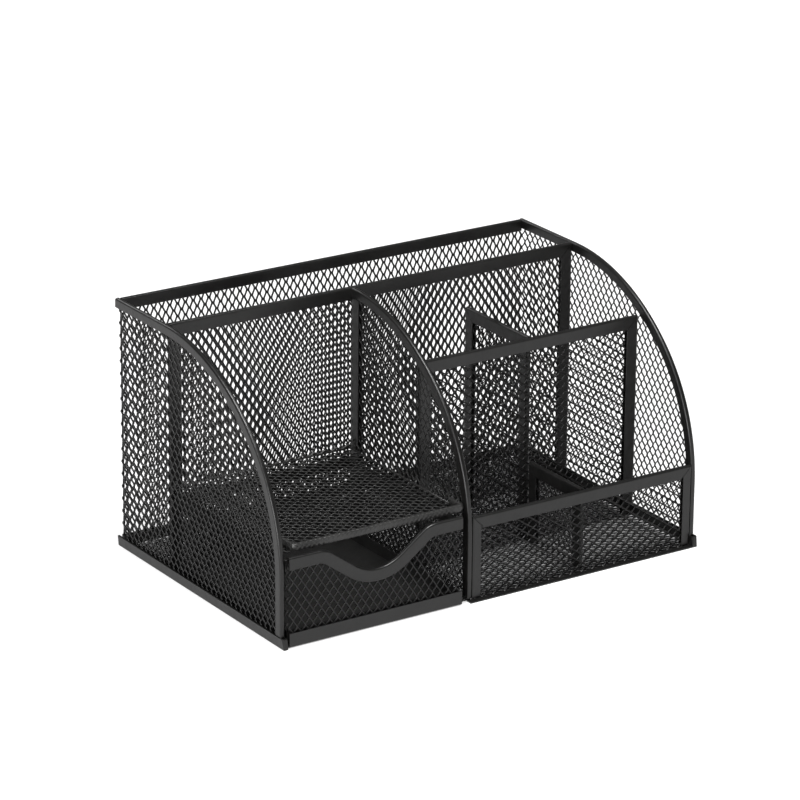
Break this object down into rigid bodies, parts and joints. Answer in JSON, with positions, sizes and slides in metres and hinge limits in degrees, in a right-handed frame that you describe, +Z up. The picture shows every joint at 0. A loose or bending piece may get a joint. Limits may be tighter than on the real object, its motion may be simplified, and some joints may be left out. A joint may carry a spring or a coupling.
{
  "type": "pen stand with drawer",
  "caption": "Black expanded-mesh desk organizer with a pull-out drawer under a shelf, tall pen pockets, low front pockets and a full-width letter slot at the back.",
  "frame": {"origin": "centre of the footprint on the surface that the organizer stands on", "axes": "+Z up, -Y towards the user (the drawer opens towards -Y), +X to the user's right"},
  "size_m": [0.2226, 0.1422, 0.1189],
  "materials": {
    "mesh_black": "satin black powder coat on expanded steel",
    "strip_black": "satin black powder coat on folded steel strip"
  },
  "bodies": {
    "stand": {"back_base_rim": "strip_black", "back_mesh": "mesh_black", "back_top_strip": "strip_black", "fence_left_strip": "strip_black", "fence_mesh": "mesh_black", "fence_right_strip": "strip_black", "fence_top_strip": "strip_black", "floor_mesh": "mesh_black", "front_rail": "strip_black", "left_base_rim": "strip_black", "left_side_channel": "strip_black", "left_side_mesh": "mesh_black", "low_divider_back_strip": "strip_black", "low_divider_front_strip": "strip_black", "low_divider_mesh": "mesh_black", "low_divider_top_strip": "strip_black", "middle_divider_left_strip": "strip_black", "middle_divider_mesh": "mesh_black", "middle_divider_right_strip": "strip_black", "middle_divider_top_strip": "strip_black", "partition_back_strip": "strip_black", "partition_channel": "strip_black", "partition_mesh": "mesh_black", "pen_divider_back_strip": "strip_black", "pen_divider_front_strip": "strip_black", "pen_divider_mesh": "mesh_black", "pen_divider_top_strip": "strip_black", "rear_divider_left_strip": "strip_black", "rear_divider_mesh": "mesh_black", "rear_divider_right_strip": "strip_black", "rear_divider_top_strip": "strip_black", "right_base_rim": "strip_black", "right_side_channel": "strip_black", "right_side_mesh": "mesh_black", "shelf_back_flange": "strip_black", "shelf_front_lip": "strip_black", "shelf_mesh": "mesh_black", "shelf_side_flange": "strip_black"},
    "drawer": {"drawer_back_mesh": "mesh_black", "drawer_back_strip": "strip_black", "drawer_front_foot_strip": "strip_black", "drawer_front_mesh": "mesh_black", "drawer_front_trim": "strip_black", "drawer_left_mesh": "mesh_black", "drawer_left_strip": "strip_black", "drawer_pan": "strip_black", "drawer_right_mesh": "mesh_black", "drawer_right_strip": "strip_black"}
  },
  "joints": [
    {"name": "drawer_slide", "type": "slide", "parent": "stand", "child": "drawer", "axis": [0, -1, 0], "range_m": [0, 0.075]}
  ]
}
